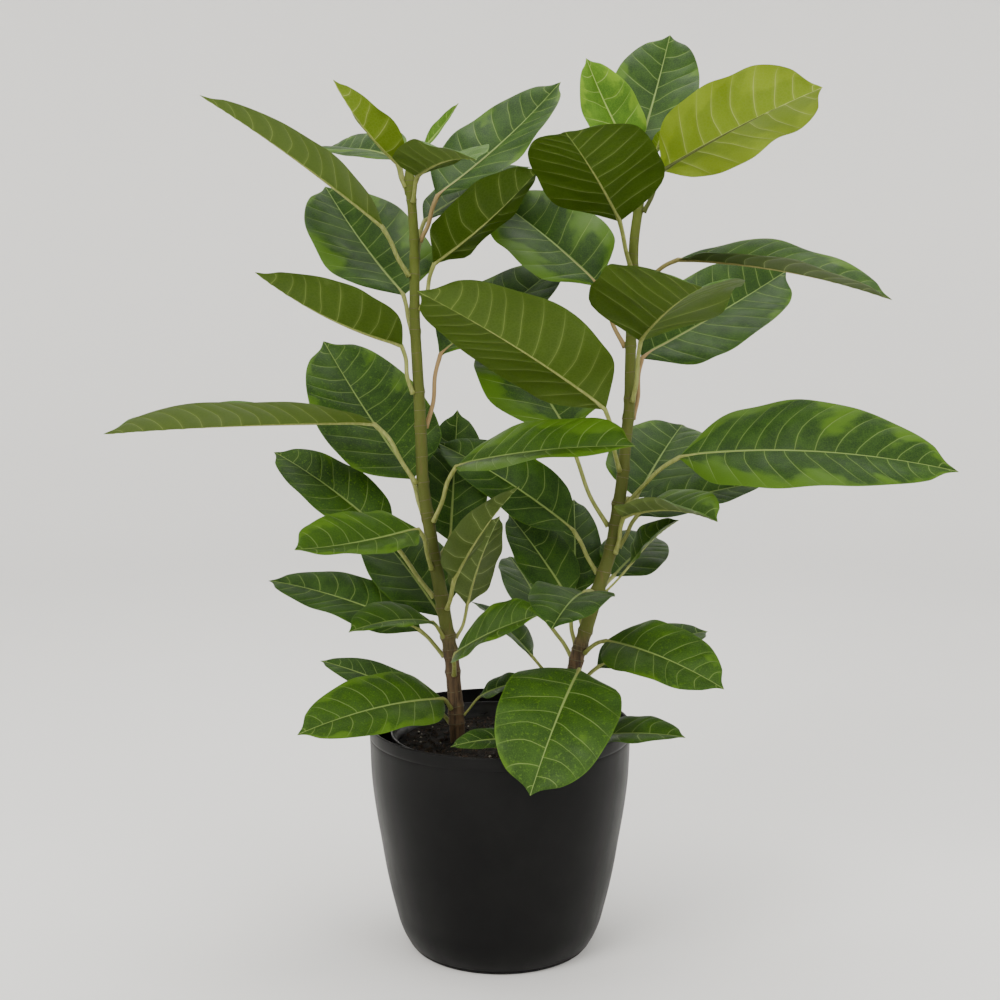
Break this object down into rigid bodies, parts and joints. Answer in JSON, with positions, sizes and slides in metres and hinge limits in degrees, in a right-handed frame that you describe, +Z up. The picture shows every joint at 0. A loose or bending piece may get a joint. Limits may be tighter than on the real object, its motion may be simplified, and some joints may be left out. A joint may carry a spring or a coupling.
{
  "type": "potted rubber plant",
  "caption": "Two-stemmed rubber fig with broad oval leaves on slender stalks, growing in a soil-filled grow pot set inside a dark tapered planter.",
  "frame": {"origin": "centre of the underside of the outer pot", "axes": "+Z up along the pot's axis, -Y towards the front of the plant, +X to the viewer's right"},
  "size_m": [0.7838, 0.3289, 0.905],
  "materials": {
    "pot": "satin",
    "grow_pot": "satin",
    "soil": "matte",
    "stem": "matte",
    "leaf_dark": "satin",
    "leaf_mid": "satin",
    "leaf_young": "satin"
  },
  "bodies": {
    "root": {"grow_pot": "grow_pot", "leaf_a01": "leaf_mid", "leaf_a02": "leaf_dark", "leaf_a03": "leaf_young", "leaf_a04": "leaf_mid", "leaf_a05": "leaf_young", "leaf_a06": "leaf_dark", "leaf_a07": "leaf_dark", "leaf_a08": "leaf_mid", "leaf_a09": "leaf_dark", "leaf_a10": "leaf_mid", "leaf_a12": "leaf_dark", "leaf_a13": "leaf_mid", "leaf_a14": "leaf_dark", "leaf_a15": "leaf_dark", "leaf_a16": "leaf_dark", "leaf_a17": "leaf_dark", "leaf_a18": "leaf_dark", "leaf_a21": "leaf_dark", "leaf_a23": "leaf_dark", "leaf_a24": "leaf_dark", "leaf_a25": "leaf_dark", "leaf_a27": "leaf_dark", "leaf_a28": "leaf_dark", "leaf_a29": "leaf_dark", "leaf_a31": "leaf_dark", "leaf_a32": "leaf_dark", "leaf_b01": "leaf_mid", "leaf_b02": "leaf_dark", "leaf_b03": "leaf_young", "leaf_b04": "leaf_young", "leaf_b05": "leaf_young", "leaf_b06": "leaf_dark", "leaf_b07": "leaf_mid", "leaf_b08": "leaf_dark", "leaf_b09": "leaf_dark", "leaf_b10": "leaf_mid", "leaf_b11": "leaf_dark", "leaf_b12": "leaf_dark", "leaf_b13": "leaf_dark", "leaf_b14": "leaf_dark", "leaf_b15": "leaf_dark", "leaf_b16": "leaf_dark", "leaf_b17": "leaf_dark", "leaf_b18": "leaf_dark", "leaf_b19": "leaf_dark", "leaf_b20": "leaf_dark", "leaf_b21": "leaf_dark", "leaf_b22": "leaf_dark", "leaf_b23": "leaf_dark", "leaf_b24": "leaf_dark", "leaf_b25": "leaf_dark", "leaf_b26": "leaf_dark", "leaf_b27": "leaf_dark", "leaf_b28": "leaf_dark", "outer_pot": "pot", "soil": "soil", "stem_a": "stem", "stem_b": "stem"}
  },
  "joints": []
}
